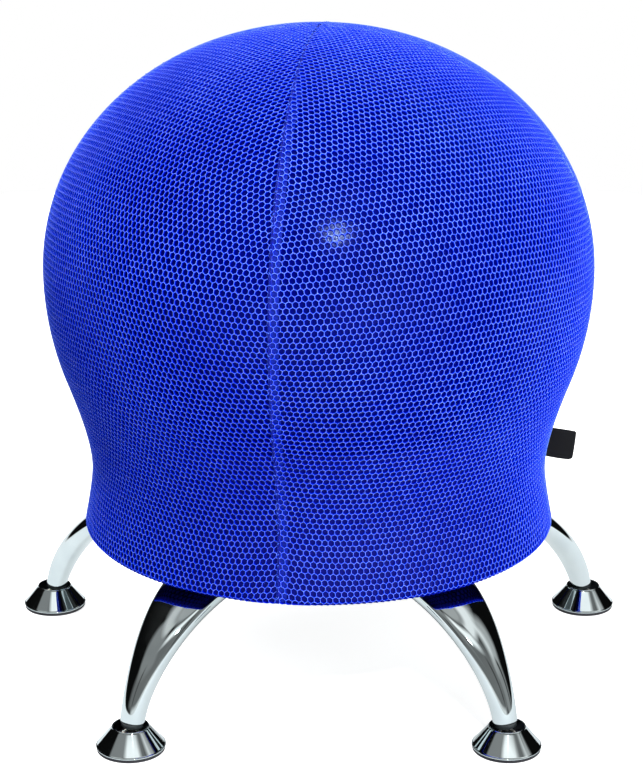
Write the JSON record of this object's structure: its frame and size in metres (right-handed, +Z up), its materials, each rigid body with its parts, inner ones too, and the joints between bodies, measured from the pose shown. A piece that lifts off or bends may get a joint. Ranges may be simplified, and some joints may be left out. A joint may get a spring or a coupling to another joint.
{
  "type": "balance ball chair",
  "caption": "Backless active seat: an inflated ball in a snug mesh cover on curved chrome legs with tilting bell feet.",
  "frame": {"origin": "on the floor, under the middle of the footprint of the feet", "axes": "+Z up, -Y the front of the chair, +X to the right of someone who looks at its front"},
  "size_m": [0.5716, 0.5466, 0.575],
  "materials": {
    "cover_mesh": "matte",
    "ball_vinyl": "gloss",
    "chrome": "polished",
    "steel": "satin",
    "black_plastic": "satin",
    "nylon": "satin",
    "woven_tag": "matte",
    "glide_rubber": "matte",
    "elastic": "matte"
  },
  "bodies": {
    "chair_frame": {"mesh_cover": "cover_mesh", "hem_elastic": "elastic", "ball": "ball_vinyl", "valve_plug": "nylon", "seat_base": "black_plastic", "label_tag": "woven_tag", "leg_back": "chrome", "plug_back": "black_plastic", "stud_back": "steel", "bolt_back_inner": "steel", "bolt_back_outer": "steel", "nut_back_inner": "steel", "nut_back_outer": "steel", "leg_back_right": "chrome", "plug_back_right": "black_plastic", "stud_back_right": "steel", "bolt_back_right_inner": "steel", "bolt_back_right_outer": "steel", "nut_back_right_inner": "steel", "nut_back_right_outer": "steel", "leg_front_right": "chrome", "plug_front_right": "black_plastic", "stud_front_right": "steel", "bolt_front_right_inner": "steel", "bolt_front_right_outer": "steel", "nut_front_right_inner": "steel", "nut_front_right_outer": "steel", "leg_front_left": "chrome", "plug_front_left": "black_plastic", "stud_front_left": "steel", "bolt_front_left_inner": "steel", "bolt_front_left_outer": "steel", "nut_front_left_inner": "steel", "nut_front_left_outer": "steel", "leg_back_left": "chrome", "plug_back_left": "black_plastic", "stud_back_left": "steel", "bolt_back_left_inner": "steel", "bolt_back_left_outer": "steel", "nut_back_left_inner": "steel", "nut_back_left_outer": "steel"},
    "swivel_back": {"bush_back": "nylon"},
    "foot_back": {"cup_back": "chrome", "pad_back": "glide_rubber"},
    "swivel_back_right": {"bush_back_right": "nylon"},
    "foot_back_right": {"cup_back_right": "chrome", "pad_back_right": "glide_rubber"},
    "swivel_front_right": {"bush_front_right": "nylon"},
    "foot_front_right": {"cup_front_right": "chrome", "pad_front_right": "glide_rubber"},
    "swivel_front_left": {"bush_front_left": "nylon"},
    "foot_front_left": {"cup_front_left": "chrome", "pad_front_left": "glide_rubber"},
    "swivel_back_left": {"bush_back_left": "nylon"},
    "foot_back_left": {"cup_back_left": "chrome", "pad_back_left": "glide_rubber"}
  },
  "joints": [
    {"name": "foot_spin_back", "type": "hinge", "parent": "chair_frame", "child": "swivel_back", "pos_m": [0, 0.24377, 0.0105], "axis": [0, 0, 1], "continuous": true},
    {"name": "foot_tilt_back", "type": "hinge", "parent": "swivel_back", "child": "foot_back", "pos_m": [0, 0.24377, 0.0105], "axis": [-1, 0, 0], "range_deg": [-8, 8]},
    {"name": "foot_spin_back_right", "type": "hinge", "parent": "chair_frame", "child": "swivel_back_right", "pos_m": [0.25631, 0.05754, 0.0105], "axis": [0, 0, 1], "continuous": true},
    {"name": "foot_tilt_back_right", "type": "hinge", "parent": "swivel_back_right", "child": "foot_back_right", "pos_m": [0.25631, 0.05754, 0.0105], "axis": [-0.309, 0.9511, 0], "range_deg": [-8, 8]},
    {"name": "foot_spin_front_right", "type": "hinge", "parent": "chair_frame", "child": "swivel_front_right", "pos_m": [0.15841, -0.24377, 0.0105], "axis": [0, 0, 1], "continuous": true},
    {"name": "foot_tilt_front_right", "type": "hinge", "parent": "swivel_front_right", "child": "foot_front_right", "pos_m": [0.15841, -0.24377, 0.0105], "axis": [0.809, 0.5878, 0], "range_deg": [-8, 8]},
    {"name": "foot_spin_front_left", "type": "hinge", "parent": "chair_frame", "child": "swivel_front_left", "pos_m": [-0.15841, -0.24377, 0.0105], "axis": [0, 0, 1], "continuous": true},
    {"name": "foot_tilt_front_left", "type": "hinge", "parent": "swivel_front_left", "child": "foot_front_left", "pos_m": [-0.15841, -0.24377, 0.0105], "axis": [0.809, -0.5878, 0], "range_deg": [-8, 8]},
    {"name": "foot_spin_back_left", "type": "hinge", "parent": "chair_frame", "child": "swivel_back_left", "pos_m": [-0.25631, 0.05754, 0.0105], "axis": [0, 0, 1], "continuous": true},
    {"name": "foot_tilt_back_left", "type": "hinge", "parent": "swivel_back_left", "child": "foot_back_left", "pos_m": [-0.25631, 0.05754, 0.0105], "axis": [-0.309, -0.9511, 0], "range_deg": [-8, 8]}
  ]
}
